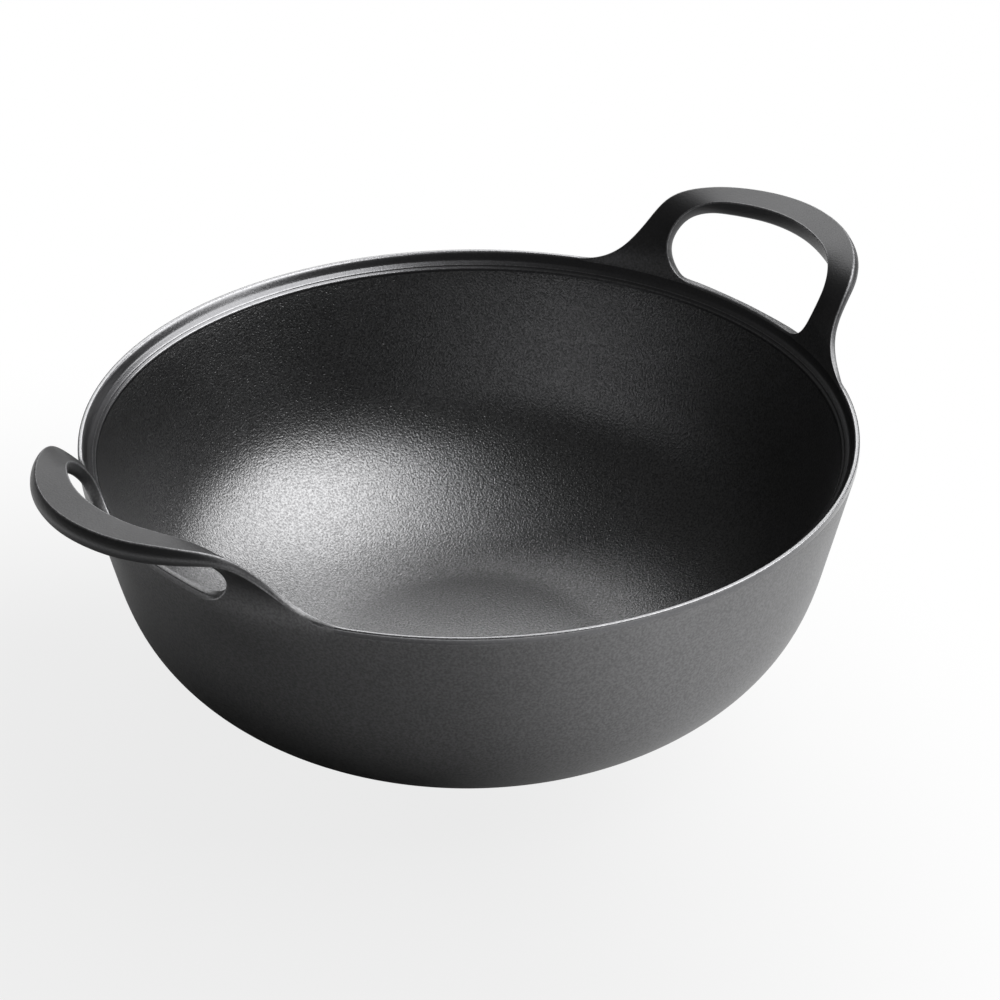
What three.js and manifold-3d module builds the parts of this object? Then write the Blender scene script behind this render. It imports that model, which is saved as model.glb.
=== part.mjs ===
// A cast iron wok with two loop handles, drawn as the regions of its one casting: the floor, three bands of
// the wall, the rim and the handles.
// Millimetres, +Z up. The pan stands on z = 0 around the Z axis, and its handles lie along +X and -X.

import * as THREE from "three";
import { mergeVertices } from "three/addons/utils/BufferGeometryUtils.js";
import Module from "manifold-3d";

const wasm = await Module();
wasm.setup();

const radians = THREE.MathUtils.degToRad;
const smoothstep = THREE.MathUtils.smoothstep;

// Bowl: the outside runs straight down from the rim and then curves in to the flat base.
// The inside follows it.
const rimRadius = 100;
const rimHeight = 75;
const baseRadius = 36;
const wallThickness = 4;
const floorThickness = 5;
const wallLean = radians(14);
const heelHeight = 40; // where the straight wall ends and the curve begins
const heelShoulder = 30; // how strongly the curve holds on to the wall's lean
const heelRun = 14; // how strongly it holds on to the flat base
const heelTaper = 30; // height over which the wall thins from the floor's thickness
const footHeight = 12; // where the steep part of the curve passes into the shallow one

// Rim: a raised lip that slopes in to a narrow ledge for a lid, a small step inside the ledge,
// and a band outside.
const lipWidth = 1.8;
const lipFlare = 1; // how far the lip's inner face slopes in on its way down to the ledge
const ledgeDepth = 1.9;
const ledgeWidth = 1.1;
const stepWidth = 0.7;
const stepDepth = 0.5;
const stepLean = 0.1;
const stepRound = 0.6;
const ledgeTaper = 24; // height below the ledge over which the wall thins
const bandHeight = 2.3;
const bandStep = 0.15;
const edgeRound = 0.45;
const ringDepth = 6; // how far down the rim ring reaches before the wall begins

// Handles: a strap that rises from the lip on two legs, flares outwards and closes over a finger window.
const handleReach = 25; // from the rim's outer edge to the outermost point of the grip
const handleRise = 22.5; // from the rim's top to the grip's top
const gripWidth = 10.5;
const gripThickness = 4.4;
const gripDip = 0.9; // how much lower the grip's inner edge lies than its outer edge
const gripBend = 39.5; // plan radius of the grip's outer edge
const windowBend = 37.5; // plan radius of the grip's inner edge
const legThickness = 3.2;
const rootThickness = 3.2;
const edgeThinning = 1; // how much thinner the strap is at its outer edge than at the window
const strapRound = 1;
const roundLimit = 0.45; // largest share of the strap's thickness or width that a rounded corner takes
const rootedFrom = 0.72; // where a leg starts to pass into its root, as a share of the way down from the grip
const gripEnd = 0.3; // where the grip starts to thin into the leg, as the same share
const legStart = 0.7; // where it has the leg's thickness
const windowAngle = radians(14.4); // half the window's opening at the rim
const windowFoot = 0.78; // share of that angle left at the window's rounded lower corners
const flareAngle = radians(31.5); // where the leg's outer edge has sunk into the rim
const apronDepth = 9; // how far the leg's root runs down the outside of the wall
const apronNarrowing = radians(6); // how much each side of the root draws in over that depth
const apronFoot = 0.2; // thickness that is left at the root's foot
const seatGap = 0.3; // clearance between a handle's root and the wall that carries it

// Fineness of the facets.
const roundSegments = 80;
const wallSteps = 6;
const heelSteps = 12;
const cornerSteps = 2;
const loopSteps = 44;
const apronSteps = 4;
const strapSteps = 4;

// Points of an arc in the plane of a profile.
function arc(centreX, centreY, radius, from, to, steps) {
  return Array.from({ length: steps + 1 }, (_, i) => {
    const angle = from + ((to - from) * i) / steps;
    return new THREE.Vector2(centreX + radius * Math.cos(angle), centreY + radius * Math.sin(angle));
  });
}

// The stretch of a falling profile line between two heights, with its ends exactly at those heights.
function stretch(line, top, bottom) {
  const at = (height) => {
    const i = line.findIndex((point) => point.y <= height);
    if (i <= 0) return new THREE.Vector2(line.at(i).x, height);
    const share = (line[i - 1].y - height) / (line[i - 1].y - line[i].y);
    return new THREE.Vector2(THREE.MathUtils.lerp(line[i - 1].x, line[i].x, share), height);
  };
  return [at(top), ...line.filter((point) => point.y < top && point.y > bottom), at(bottom)];
}

// A solid of revolution about Z from a closed profile of (radius, height), walked anticlockwise.
function revolve(profile) {
  const closed = [...profile, profile[0]];
  return new THREE.LatheGeometry(closed, roundSegments).rotateX(Math.PI / 2);
}

// The outside line of the wall, from under the rim's band down to the edge of the flat base.
const bandFoot = new THREE.Vector2(rimRadius - bandStep, rimHeight - bandHeight);
const wallDown = new THREE.Vector2(-Math.sin(wallLean), -Math.cos(wallLean));
const wallRun = (bandFoot.y - heelHeight) / Math.cos(wallLean);
const heelTop = bandFoot.clone().addScaledVector(wallDown, wallRun);
const heelCurve = new THREE.CubicBezierCurve(
  heelTop,
  heelTop.clone().addScaledVector(wallDown, heelShoulder),
  new THREE.Vector2(baseRadius + heelRun, 0),
  new THREE.Vector2(baseRadius, 0),
);
const straight = Array.from({ length: wallSteps }, (_, i) => bandFoot.clone().lerp(heelTop, i / wallSteps));
const outerLine = [...straight, ...heelCurve.getPoints(heelSteps)];

// The unit direction of the curve, worked out from its control points so that its ends are exact.
function heelDirection(t) {
  const { v0, v1, v2, v3 } = heelCurve;
  const leg = (from, to, weight) => to.clone().sub(from).multiplyScalar(weight);
  const direction = leg(v0, v1, (1 - t) ** 2);
  direction.add(leg(v1, v2, 2 * t * (1 - t)));
  direction.add(leg(v2, v3, t ** 2));
  return direction.normalize();
}

// The inside line: the outside one set in by a thickness that grows towards the ledge and the floor.
const ledgeHeight = rimHeight - ledgeDepth;
const ledgeEdge = rimRadius - lipWidth - lipFlare - ledgeWidth;
const ledgeInner = ledgeEdge - stepWidth;
const ledgeOuter = stretch(outerLine, ledgeHeight, 0)[0].x;
const ledgeThickness = (ledgeOuter - ledgeInner) * Math.cos(wallLean);
const innerLine = outerLine.map((point, i) => {
  const tangent = i < wallSteps ? wallDown : heelDirection((i - wallSteps) / heelSteps);
  const toLedge = smoothstep(point.y, ledgeHeight - ledgeTaper, ledgeHeight);
  const toFloor = 1 - smoothstep(point.y, 0, heelTaper);
  const thickness =
    wallThickness +
    (ledgeThickness - wallThickness) * toLedge +
    (floorThickness - wallThickness) * toFloor;
  return new THREE.Vector2(point.x + tangent.y * thickness, point.y - tangent.x * thickness);
});

const ringFoot = rimHeight - ringDepth;
const lipInner = rimRadius - lipWidth;

function basePlate() {
  return revolve([
    new THREE.Vector2(0, 0),
    new THREE.Vector2(baseRadius, 0),
    new THREE.Vector2(baseRadius, floorThickness),
    new THREE.Vector2(0, floorThickness),
  ]);
}

// One band of the wall, between two level cuts through the casting.
function wallBand(top, bottom) {
  return revolve([
    ...stretch(innerLine, top, Math.max(bottom, floorThickness)),
    ...stretch(outerLine, top, bottom).reverse(),
  ]);
}

function rimRing() {
  const top = rimHeight - edgeRound;
  const stepTop = ledgeHeight - stepDepth;
  return revolve([
    ...stretch(outerLine, bandFoot.y, ringFoot).reverse(),
    new THREE.Vector2(rimRadius, bandFoot.y + bandStep),
    ...arc(rimRadius - edgeRound, top, edgeRound, 0, Math.PI / 2, cornerSteps),
    ...arc(lipInner + edgeRound, top, edgeRound, Math.PI / 2, Math.PI, cornerSteps),
    new THREE.Vector2(lipInner - lipFlare, ledgeHeight),
    new THREE.Vector2(ledgeEdge, ledgeHeight),
    new THREE.Vector2(ledgeEdge - stepLean, stepTop),
    ...arc(ledgeInner + stepRound, stepTop - stepRound, stepRound, Math.PI / 2, Math.PI, cornerSteps),
    ...stretch(innerLine, stepTop - stepRound, ringFoot).slice(1),
  ]);
}

// A closed mesh as a solid that can be cut, and back.
function toSolid(geometry) {
  const bare = geometry.clone();
  bare.deleteAttribute("normal");
  bare.deleteAttribute("uv");
  const merged = mergeVertices(bare);
  return new wasm.Manifold(
    new wasm.Mesh({
      numProp: 3,
      vertProperties: merged.attributes.position.array,
      triVerts: new Uint32Array(merged.index.array),
    }),
  );
}

function toGeometry(solid) {
  const mesh = solid.getMesh();
  const geometry = new THREE.BufferGeometry();
  geometry.setAttribute("position", new THREE.BufferAttribute(mesh.vertProperties, 3));
  geometry.setIndex(new THREE.BufferAttribute(mesh.triVerts, 1));
  geometry.computeVertexNormals();
  return geometry;
}

// A point of the handle on +X from its angle round the pan, its radius and its height over the rim.
const aroundPan = (angle, radius, height) =>
  new THREE.Vector3(radius * Math.cos(angle), radius * Math.sin(angle), rimHeight + height);

// A point on a plan arc that bulges outwards and has its crown on the X axis.
const onBend = (crown, bend, turn, height) =>
  new THREE.Vector3(crown - bend + bend * Math.cos(turn), bend * Math.sin(turn), rimHeight + height);

// A smooth edge through the points of one half and their mirror images.
function mirroredEdge(half) {
  const crown = half.at(-1);
  const other = half.slice(0, -1).map((p) => new THREE.Vector3(p.x, -p.y, p.z));
  return new THREE.CatmullRomCurve3([...other, crown, ...half.slice(0, -1).reverse()]);
}

// The grip's upper outer edge stops short of the full reach, because the tilted section overhangs it.
const gripTilt = Math.atan2(gripDip, gripWidth);
const gripEdge = gripThickness - edgeThinning;
const gripOverhang =
  (gripEdge - strapRound) * Math.sin(gripTilt) + strapRound * (1 - Math.cos(gripTilt));
const gripCrown = rimRadius + handleReach - gripOverhang;

// The strap's outer edge climbs out of the lip in a long flare, then turns over the grip's bend.
const outerEdge = mirroredEdge([
  aroundPan(flareAngle, lipInner, 0),
  aroundPan(flareAngle * 0.9, lipInner, handleRise * 0.04),
  aroundPan(flareAngle * 0.8, lipInner + 0.3, handleRise * 0.15),
  aroundPan(flareAngle * 0.73, lipInner + 1.3, handleRise * 0.31),
  aroundPan(flareAngle * 0.67, lipInner + 4.4, handleRise * 0.52),
  onBend(gripCrown, gripBend, radians(62), handleRise * 0.86),
  onBend(gripCrown, gripBend, radians(46), handleRise * 0.965),
  onBend(gripCrown, gripBend, radians(24), handleRise * 0.99),
  onBend(gripCrown, gripBend, 0, handleRise),
]);

// Its inner edge bounds the window: widest a little above the rim, then over to the grip's inner face.
const windowRise = handleRise - gripDip;
const windowCrown = gripCrown - gripWidth;
const innerEdge = mirroredEdge([
  aroundPan(windowAngle * windowFoot, lipInner, 0),
  aroundPan(windowAngle * 0.96, lipInner + 0.1, windowRise * 0.06),
  aroundPan(windowAngle * 1.1, lipInner + 0.4, windowRise * 0.21),
  aroundPan(windowAngle * 1.17, lipInner + 2.1, windowRise * 0.47),
  aroundPan(windowAngle * 1.08, lipInner + 6.4, windowRise * 0.75),
  onBend(windowCrown, windowBend, radians(36), windowRise * 0.935),
  onBend(windowCrown, windowBend, radians(18), windowRise * 0.985),
  onBend(windowCrown, windowBend, 0, windowRise),
]);

// The strap's upper face: along is 0 to 1 over the loop, across is 0 at the window and 1 outside.
function strapFace(along, across) {
  const inner = innerEdge.getPointAt(along);
  const outer = outerEdge.getPointAt(along);
  const mix = (a, b) => THREE.MathUtils.lerp(a, b, across);
  const angle = mix(Math.atan2(inner.y, inner.x), Math.atan2(outer.y, outer.x));
  const radius = mix(Math.hypot(inner.x, inner.y), Math.hypot(outer.x, outer.y));
  return aroundPan(angle, radius, mix(inner.z, outer.z) - rimHeight);
}

// The direction into the strap from that face: outwards at the rim, downwards at the grip.
function strapInward(along, across) {
  const step = 1e-3;
  const before = strapFace(Math.max(along - step, 0), across);
  const after = strapFace(Math.min(along + step, 1), across);
  const run = after.sub(before);
  const width = strapFace(along, 1).sub(strapFace(along, 0));
  return run.cross(width).normalize();
}

// A rounded rectangle of the strap's section, as (share of the width, share of the thickness).
function strapOutline(width, thickness) {
  const round = Math.min(strapRound, roundLimit * thickness, roundLimit * width);
  const corner = (x, y, from) => arc(x, y, round, from, from + Math.PI / 2, cornerSteps);
  const side = Array.from({ length: strapSteps - 1 }, (_, i) => {
    return round + ((width - 2 * round) * (i + 1)) / strapSteps;
  });
  const points = [
    ...corner(round, round, Math.PI),
    ...side.map((x) => new THREE.Vector2(x, 0)),
    ...corner(width - round, round, -Math.PI / 2),
    ...corner(width - round, thickness - round, 0),
    ...side.toReversed().map((x) => new THREE.Vector2(x, thickness)),
    ...corner(round, thickness - round, Math.PI / 2),
  ];
  return points.map((p) => new THREE.Vector2(p.x / width, p.y / thickness));
}

// One section ring of the strap above the rim.
function strapRing(along) {
  const height = Math.abs(2 * along - 1); // 1 at the roots, 0 at the middle of the grip
  const rooted = smoothstep(height, rootedFrom, 1);
  const gripped = 1 - smoothstep(height, gripEnd, legStart);
  const thickness =
    legThickness + (rootThickness - legThickness) * rooted + (gripThickness - legThickness) * gripped;
  const width = strapFace(along, 0).distanceTo(strapFace(along, 1));
  const thinning = edgeThinning * (1 - rooted);
  return strapOutline(width, thickness).map((p) =>
    strapFace(along, p.x).addScaledVector(strapInward(along, p.x), p.y * (thickness - thinning * p.x)),
  );
}

// A handle's root clears the rim's band, and the wall below the band in the same line.
const seatOffset = seatGap + bandStep;

// One section ring of a leg's root, which runs down the outside of the wall and thins towards its foot.
function apronRing(depth, side) {
  const sunk = depth / apronDepth;
  const wall = stretch(outerLine, Math.min(bandFoot.y, rimHeight - depth), 0)[0].x;
  const proudFoot = seatOffset + apronFoot;
  const proud = THREE.MathUtils.lerp(rootThickness - lipWidth, proudFoot, smoothstep(sunk, 0, 1));
  const thickness = Math.max(wall, depth > 0 ? 0 : rimRadius) + proud - lipInner;
  const from = windowAngle * windowFoot + apronNarrowing * sunk ** 2;
  const to = flareAngle - apronNarrowing * sunk ** 2;
  return strapOutline(rimRadius * (to - from), thickness).map((p) =>
    aroundPan(side * THREE.MathUtils.lerp(from, to, p.x), lipInner + p.y * thickness, -depth),
  );
}

// A closed skin over rings of equal point counts, with flat ends.
function loft(rings) {
  const count = rings[0].length;
  const ends = [rings[0], rings.at(-1)].map((ring) => {
    return ring.reduce((sum, p) => sum.add(p), new THREE.Vector3()).divideScalar(count);
  });
  const positions = [...rings.flat(), ...ends].flatMap((p) => p.toArray());
  const index = [];
  rings.slice(1).forEach((_, i) => {
    for (let j = 0; j < count; j++) {
      const a = i * count + j;
      const b = i * count + ((j + 1) % count);
      index.push(a, b, a + count, b, b + count, a + count);
    }
  });
  const last = (rings.length - 1) * count;
  for (let j = 0; j < count; j++) {
    const next = (j + 1) % count;
    index.push(rings.length * count, next, j);
    index.push(rings.length * count + 1, last + j, last + next);
  }
  const geometry = new THREE.BufferGeometry();
  geometry.setAttribute("position", new THREE.Float32BufferAttribute(positions, 3));
  geometry.setIndex(index);
  return geometry;
}

// The space of the rim and upper wall, which a handle's root is cut to sit over.
function seatCutter() {
  const foot = rimHeight - 2 * apronDepth;
  const skin = stretch(outerLine, bandFoot.y, foot).map((p) => new THREE.Vector2(p.x + seatOffset, p.y));
  return revolve([
    new THREE.Vector2(ledgeInner, foot),
    ...skin.toReversed(),
    new THREE.Vector2(rimRadius + seatGap, rimHeight),
    new THREE.Vector2(ledgeInner, rimHeight),
  ]);
}

function loopHandle() {
  const down = Array.from({ length: apronSteps }, (_, i) => (apronDepth * (i + 1)) / apronSteps);
  const rings = [
    ...down.toReversed().map((depth) => apronRing(depth, -1)),
    ...Array.from({ length: loopSteps + 1 }, (_, i) => strapRing(i / loopSteps)),
    ...down.map((depth) => apronRing(depth, 1)),
  ];
  return toGeometry(toSolid(loft(rings)).subtract(toSolid(seatCutter())));
}

function piece(name, geometry, color, roughness) {
  const material = new THREE.MeshStandardMaterial({ color, roughness, metalness: 0.6 });
  const mesh = new THREE.Mesh(geometry, material);
  mesh.name = name;
  return mesh;
}

const wok = new THREE.Group();
wok.add(piece("base_plate", basePlate(), 0x39393b, 0.6));
wok.add(piece("bowl_foot", wallBand(footHeight, 0), 0x373739, 0.6));
wok.add(piece("bowl_heel", wallBand(heelHeight, footHeight), 0x353537, 0.6));
wok.add(piece("bowl_wall", wallBand(ringFoot, heelHeight), 0x353537, 0.6));
wok.add(piece("rim_ring", rimRing(), 0x2e2e30, 0.5));

const handle = loopHandle();
const handleRight = piece("handle_right", handle, 0x303032, 0.55);
const handleLeft = piece("handle_left", handle.clone(), 0x303032, 0.55);
handleLeft.rotation.z = Math.PI;
wok.add(handleRight, handleLeft);

export default wok;
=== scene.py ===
# %% [markdown]
# # A cast iron wok
# A small, deep pan of black seasoned iron: a turned bowl, a stepped rim and two loop handles that grow out
# of the rim. The real pan is one casting, so nothing on it is screwed or welded. The work is to let four
# pieces flow into each other as poured iron does, and to give the iron its pebbled inside and its satin
# outside. Its main sizes are read from the CAD frame, which is loaded first.

import math

import bmesh
import bpy
import numpy as np
from mathutils import Matrix, Vector


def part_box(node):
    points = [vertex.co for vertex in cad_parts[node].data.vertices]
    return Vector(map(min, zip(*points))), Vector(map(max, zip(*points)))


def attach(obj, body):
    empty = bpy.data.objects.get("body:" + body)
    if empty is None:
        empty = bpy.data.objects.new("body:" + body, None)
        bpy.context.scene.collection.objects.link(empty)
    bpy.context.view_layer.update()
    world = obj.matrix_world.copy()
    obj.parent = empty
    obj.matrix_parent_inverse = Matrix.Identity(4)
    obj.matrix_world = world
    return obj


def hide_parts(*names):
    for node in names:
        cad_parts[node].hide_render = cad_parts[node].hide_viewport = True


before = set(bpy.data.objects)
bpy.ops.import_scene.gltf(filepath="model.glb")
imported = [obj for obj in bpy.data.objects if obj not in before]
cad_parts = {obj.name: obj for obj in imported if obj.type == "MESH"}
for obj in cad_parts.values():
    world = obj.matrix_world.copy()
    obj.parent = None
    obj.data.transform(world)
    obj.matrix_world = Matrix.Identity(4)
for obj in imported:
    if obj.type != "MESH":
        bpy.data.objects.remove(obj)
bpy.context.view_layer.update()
MM = 0.001

# %% [markdown]
# ## The camera
# A product picture is taken from some way off with a long lens, so that near and far parts keep their
# proportions. The camera looks down at the rim by 31 degrees. Seen from above, it stands 41 degrees to the
# left of a plain front view, so the left handle comes towards us and the right one lies at the back.

# %% The camera
VIEW_TURN = math.radians(-41)
VIEW_DROP = math.radians(31.03)
VIEW_ROLL = math.radians(-0.357)
VIEW_DISTANCE = 850 * MM
AIM_ACROSS = 7.85 * MM
AIM_BELOW_RIM = 22.8 * MM
SENSOR_WIDTH = 36
LENS_PER_WIDTH = 3.2663

rim_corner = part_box("rim_ring")[1]
RIM_RADIUS = rim_corner.x
RIM_HEIGHT = rim_corner.z

view_turn = Matrix.Rotation(VIEW_TURN, 3, "Z")
view_tip = Matrix.Rotation(math.pi / 2 - VIEW_DROP, 3, "X")
view_roll = Matrix.Rotation(VIEW_ROLL, 3, "Z")


def in_view(across, away, height):
    """A point as the camera's operator would give it: to the right, away from the camera, and up."""
    return view_turn @ Vector((across, away, height))


lens = bpy.data.cameras.new("Camera")
lens.sensor_width = SENSOR_WIDTH
lens.lens = LENS_PER_WIDTH * SENSOR_WIDTH
camera = bpy.data.objects.new("Camera", lens)
camera.location = in_view(
    AIM_ACROSS,
    -VIEW_DISTANCE * math.cos(VIEW_DROP),
    RIM_HEIGHT - AIM_BELOW_RIM + VIEW_DISTANCE * math.sin(VIEW_DROP),
)
camera.rotation_euler = (view_turn @ view_tip @ view_roll).to_euler()
bpy.context.scene.collection.objects.link(camera)
bpy.context.scene.camera = camera
print("camera at", [round(v, 3) for v in camera.location], "lens", round(lens.lens, 1), "mm")

# %% [markdown]
# ## Two helpers
# Node trees are long lists of boxes and wires. One function adds a box with its settings and its wires, for
# shaders and for geometry alike. Colours are written as the hex values that a picture editor shows, and a
# second function turns them into the linear light that Blender works in.

# %% Two helpers
def add(tree, kind, inputs=None, **settings):
    """Add one node. Inputs are values or the sockets that feed them, and settings are its properties."""
    made = tree.nodes.new(kind)
    for name, value in settings.items():
        setattr(made, name, value)
    for key, value in (inputs or {}).items():
        if isinstance(value, bpy.types.NodeSocket):
            tree.links.new(value, made.inputs[key])
        else:
            made.inputs[key].default_value = value
    return made


def colour(hex_text):
    """An sRGB hex value as linear red, green, blue and alpha."""
    parts = [int(hex_text[i : i + 2], 16) / 255 for i in (1, 3, 5)]
    linear = [c / 12.92 if c <= 0.04045 else ((c + 0.055) / 1.055) ** 2.4 for c in parts]
    return (*linear, 1.0)


print("the grey #808080 as linear light:", round(colour("#808080")[0], 3))

# %% [markdown]
# ## Seasoned cast iron
# Iron poured into a sand mould comes out with the grain of the sand on it, and heat turns its skin to black
# oxide, a dark metal that mirrors about a fifth of the light. Baked oil covers the oxide with a thin, hard
# film, which adds a sharper gloss of its own. So the iron is black where it mirrors a dark room and silvery
# where it mirrors a lamp. The grain breaks each highlight up, and soot stays in its pits. Along the edges
# the film is rubbed thin and grey metal shows through. Where the edges are lighter, that colour is partly
# this wear and partly a painted highlight.
#
# The grain could be sculpted, but it is finer than any mesh worth keeping, so the shader holds it as relief.
# Moulding sand is 0.2 to 0.3 mm, about one pixel of the picture, so it is drawn about twice as coarse. One
# function makes all finishes of the pan, because only their sizes and colours differ.

# %% The shader of seasoned iron
# Widths and the fade are in millimetres. The ranges are levels of a noise that runs from 0 to 1.
SAND_DETAIL = 1.0
PIT_RANGE = (0.32, 0.66)
GRIT_WIDTH = 0.45
GRIT_RANGE = (0.66, 0.8)
FILM_SMOOTHING = 0.8
PATCH_WIDTH = 30.0
PATCH_DETAIL = 3.0
PATCH_ROUGHNESS = 0.6
PATCH_RANGE = (0.3, 0.7)
GLOSS_SPREAD = 0.03
GRIP_FADE = 14.0
# The attribute for rubbed edges, whose lighter colour is partly wear and partly a painted highlight.
EDGE_WEAR_AND_GLINT = "edge_wear_and_glint"

# A mix node's colour sockets come after its number and vector sockets.
COLOUR_A = 6
COLOUR_B = 7
COLOUR_RESULT = 2


def seasoned_iron(name, oxide, pit, worn_and_glint, grain, bump, grit, satin, gloss, film, grip=None):
    """Oxide under a baked film. Grain is the bumps' width, bump and grit are heights, all in mm.

    Satin is the roughness of the oxide, gloss that of the film, and film how much of it there is. The
    oxide is darker in the pits of the grain, and above the rim it takes the grip's colour, if one is given.
    """
    material = bpy.data.materials.new(name)
    material.use_nodes = True
    tree = material.node_tree
    shader = tree.nodes["Principled BSDF"]
    place = add(tree, "ShaderNodeTexCoord").outputs["Object"]

    # The grain of the sand, about one noise cell to a grain.
    sand = add(
        tree,
        "ShaderNodeTexNoise",
        {"Vector": place, "Scale": 1 / (grain * MM), "Detail": SAND_DETAIL},
    ).outputs["Fac"]
    # Here and there a sharper grain stood in the mould. Only the peaks of a second noise are kept for these.
    sharp = add(
        tree,
        "ShaderNodeTexNoise",
        {"Vector": place, "Scale": 1 / (GRIT_WIDTH * MM), "Detail": 0.0},
    ).outputs["Fac"]
    peaks = add(
        tree,
        "ShaderNodeMapRange",
        {"Value": sharp, "From Min": GRIT_RANGE[0], "From Max": GRIT_RANGE[1], "To Max": grit},
    ).outputs["Result"]
    height = add(
        tree,
        "ShaderNodeMath",
        {0: sand, 1: bump, 2: peaks},
        operation="MULTIPLY_ADD",
    ).outputs[0]
    # The film lies over the relief and follows it less sharply.
    relief = add(tree, "ShaderNodeBump", {"Height": height, "Distance": MM})
    covered = add(tree, "ShaderNodeBump", {"Height": height, "Distance": FILM_SMOOTHING * MM})
    tree.links.new(relief.outputs["Normal"], shader.inputs["Normal"])
    tree.links.new(covered.outputs["Normal"], shader.inputs["Coat Normal"])

    # Slow patches a few centimetres wide, where the oxide is a little duller or brighter.
    patches = add(
        tree,
        "ShaderNodeTexNoise",
        {
            "Vector": place,
            "Scale": 1 / (PATCH_WIDTH * MM),
            "Detail": PATCH_DETAIL,
            "Roughness": PATCH_ROUGHNESS,
        },
    ).outputs["Fac"]
    roughness = add(
        tree,
        "ShaderNodeMapRange",
        {
            "Value": patches,
            "From Min": PATCH_RANGE[0],
            "From Max": PATCH_RANGE[1],
            "To Min": satin - GLOSS_SPREAD,
            "To Max": satin + GLOSS_SPREAD,
        },
    )
    tree.links.new(roughness.outputs["Result"], shader.inputs["Roughness"])

    # Soot stays in the pits.
    raised = add(
        tree,
        "ShaderNodeMapRange",
        {"Value": sand, "From Min": PIT_RANGE[0], "From Max": PIT_RANGE[1]},
    ).outputs["Result"]
    tint = add(
        tree,
        "ShaderNodeMix",
        {"Factor": raised, COLOUR_A: colour(pit), COLOUR_B: colour(oxide)},
        data_type="RGBA",
    ).outputs[COLOUR_RESULT]

    # The grip is darker than the legs. Its colour comes in slowly over the legs, so that no line shows at
    # the rim.
    if grip:
        height_up = add(tree, "ShaderNodeSeparateXYZ", {"Vector": place}).outputs["Z"]
        handled = add(
            tree,
            "ShaderNodeMapRange",
            {"Value": height_up, "From Min": RIM_HEIGHT, "From Max": RIM_HEIGHT + GRIP_FADE * MM},
            interpolation_type="SMOOTHSTEP",
        ).outputs["Result"]
        tint = add(
            tree,
            "ShaderNodeMix",
            {"Factor": handled, COLOUR_A: tint, COLOUR_B: colour(grip)},
            data_type="RGBA",
        ).outputs[COLOUR_RESULT]

    # Rubbed edges: the attribute is 0 on flats and 1 on sharp outer edges, broken up by the grain. Their
    # colour is partly wear and partly a painted highlight along the edges.
    edge = add(tree, "ShaderNodeAttribute", attribute_name=EDGE_WEAR_AND_GLINT).outputs["Fac"]
    rubbed_and_glint = add(tree, "ShaderNodeMath", {0: edge, 1: sand}, operation="MULTIPLY").outputs[0]
    tint = add(
        tree,
        "ShaderNodeMix",
        {"Factor": rubbed_and_glint, COLOUR_A: tint, COLOUR_B: colour(worn_and_glint)},
        data_type="RGBA",
    ).outputs[COLOUR_RESULT]
    tree.links.new(tint, shader.inputs["Base Color"])

    shader.inputs["Metallic"].default_value = 1.0
    shader.inputs["Coat Weight"].default_value = film
    shader.inputs["Coat Roughness"].default_value = gloss
    return material


print("seasoned iron with sharp grains of", GRIT_WIDTH, "mm and patches of", PATCH_WIDTH, "mm")

# %% [markdown]
# ## The pan's finishes
# Outside and on the handles the sand was fine and the film is thin, so the iron has a dull, even sheen.
# Inside, a rougher facing leaves a pebbled skin under a full film, on which the light sparkles. The rim is
# smoother and mirrors more sharply. Its edges are rubbed bright, and that bright colour also serves as a
# painted highlight.

# %% The pan's finishes
FINE_SAND = {
    "oxide": "#828283",
    "pit": "#6c6c6d",
    "grain": 0.65,
    "bump": 0.04,
    "grit": 0.01,
    "satin": 0.5,
    "gloss": 0.42,
    "film": 0.4,
}
# A broad, soft sheen that follows the roundness of the wall.
outside_iron = seasoned_iron("Seasoned cast iron, fine sand outside", worn_and_glint="#8a8a8c", **FINE_SAND)
# Bright pebbles with soot between them.
inside_iron = seasoned_iron(
    "Seasoned cast iron, pebbled inside",
    oxide="#8a8a8b",
    pit="#5c5c5d",
    worn_and_glint="#8a8a8c",
    grain=0.56,
    bump=0.11,
    grit=0.03,
    satin=0.36,
    gloss=0.3,
    film=1.0,
)
# Nearly black, with narrow highlights along its steps: from the lamps, and from a bright edge colour that is
# partly wear and partly painted highlight.
rim_iron = seasoned_iron(
    "Seasoned cast iron, smooth rim",
    oxide="#646466",
    pit="#5c5c5e",
    worn_and_glint="#b4b4b6",
    grain=0.6,
    bump=0.02,
    grit=0.01,
    satin=0.3,
    gloss=0.22,
    film=1.0,
)
# The legs have the sheen of the wall that they grow from, and the grips are darker. Their edges take the
# rim's bright edge colour, partly wear and partly painted highlight.
handle_iron = seasoned_iron(
    "Seasoned cast iron, fine sand on the handles",
    worn_and_glint="#b4b4b6",
    grip="#464647",
    **FINE_SAND,
)
print("finishes:", [m.name for m in (outside_iron, inside_iron, rim_iron, handle_iron)])

# %% [markdown]
# ## The profile of the bowl
# A turned form is known by one line: half of its section, from the middle of the underside, round the rim
# and back to the middle of the floor. The wall leans out by 13 degrees, then rounds in to the flat base. The
# rim has a raised lip, with a narrow ledge inside it for a lid. The line could have hundreds of points. Here
# it is the cage of a subdivision surface: a few points give a smooth wall, and a point close on either side
# of an edge keeps that edge crisp.

# %% The outer and the inner wall
# Sizes of the profile are in millimetres.
WALL_LEAN = math.radians(13.3)
WALL_THICKNESS = 4.0
THICKENS_BELOW = 30.0
BAND_HEIGHT = 2.3
BAND_STEP = 0.15
HEEL_SHOULDER = 29.8
HEEL_RUN = 15.6
HEEL_POINTS = 12
WALL_POINTS = 6

rim = RIM_RADIUS / MM
top = RIM_HEIGHT / MM
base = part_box("base_plate")[1].x / MM
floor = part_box("base_plate")[1].z / MM
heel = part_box("bowl_wall")[0].z / MM


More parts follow.
